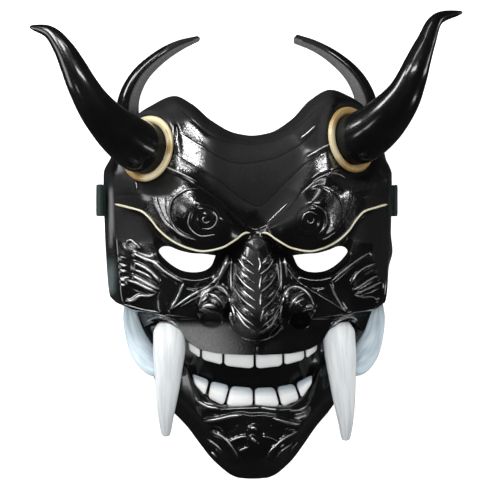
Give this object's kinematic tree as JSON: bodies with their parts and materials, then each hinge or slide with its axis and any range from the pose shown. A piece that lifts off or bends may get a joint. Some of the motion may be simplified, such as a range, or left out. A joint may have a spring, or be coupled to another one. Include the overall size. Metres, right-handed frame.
{
  "type": "oni mask",
  "caption": "Hollow moulded demon face mask with curved horns in rings, crescent arms behind the forehead, eye holes, fangs, tusks, rows of teeth and an elastic head strap.",
  "frame": {"origin": "under the middle of the whole mask's box, on the surface that it lies on", "axes": "+Z is where the face looks, +Y points to the forehead, +X is the right side for someone who looks at the face"},
  "size_m": [0.2782, 0.2994, 0.1161],
  "materials": {
    "lacquer": "black high gloss paint on moulded latex",
    "gold": "brushed old gold paint",
    "fang_white": "streaky white, semi-gloss",
    "tusk_white": "bluish white, semi-gloss",
    "tooth_white": "white, semi-gloss",
    "webbing": "woven elastic"
  },
  "bodies": {
    "root": {"mask_shell": "lacquer", "left_horn": "lacquer", "right_horn": "lacquer", "left_horn_ring": "gold", "right_horn_ring": "gold", "left_fang": "fang_white", "right_fang": "fang_white", "left_tusk": "tusk_white", "right_tusk": "tusk_white", "upper_teeth": "tooth_white", "lower_teeth": "tooth_white", "head_strap": "webbing"}
  },
  "joints": []
}
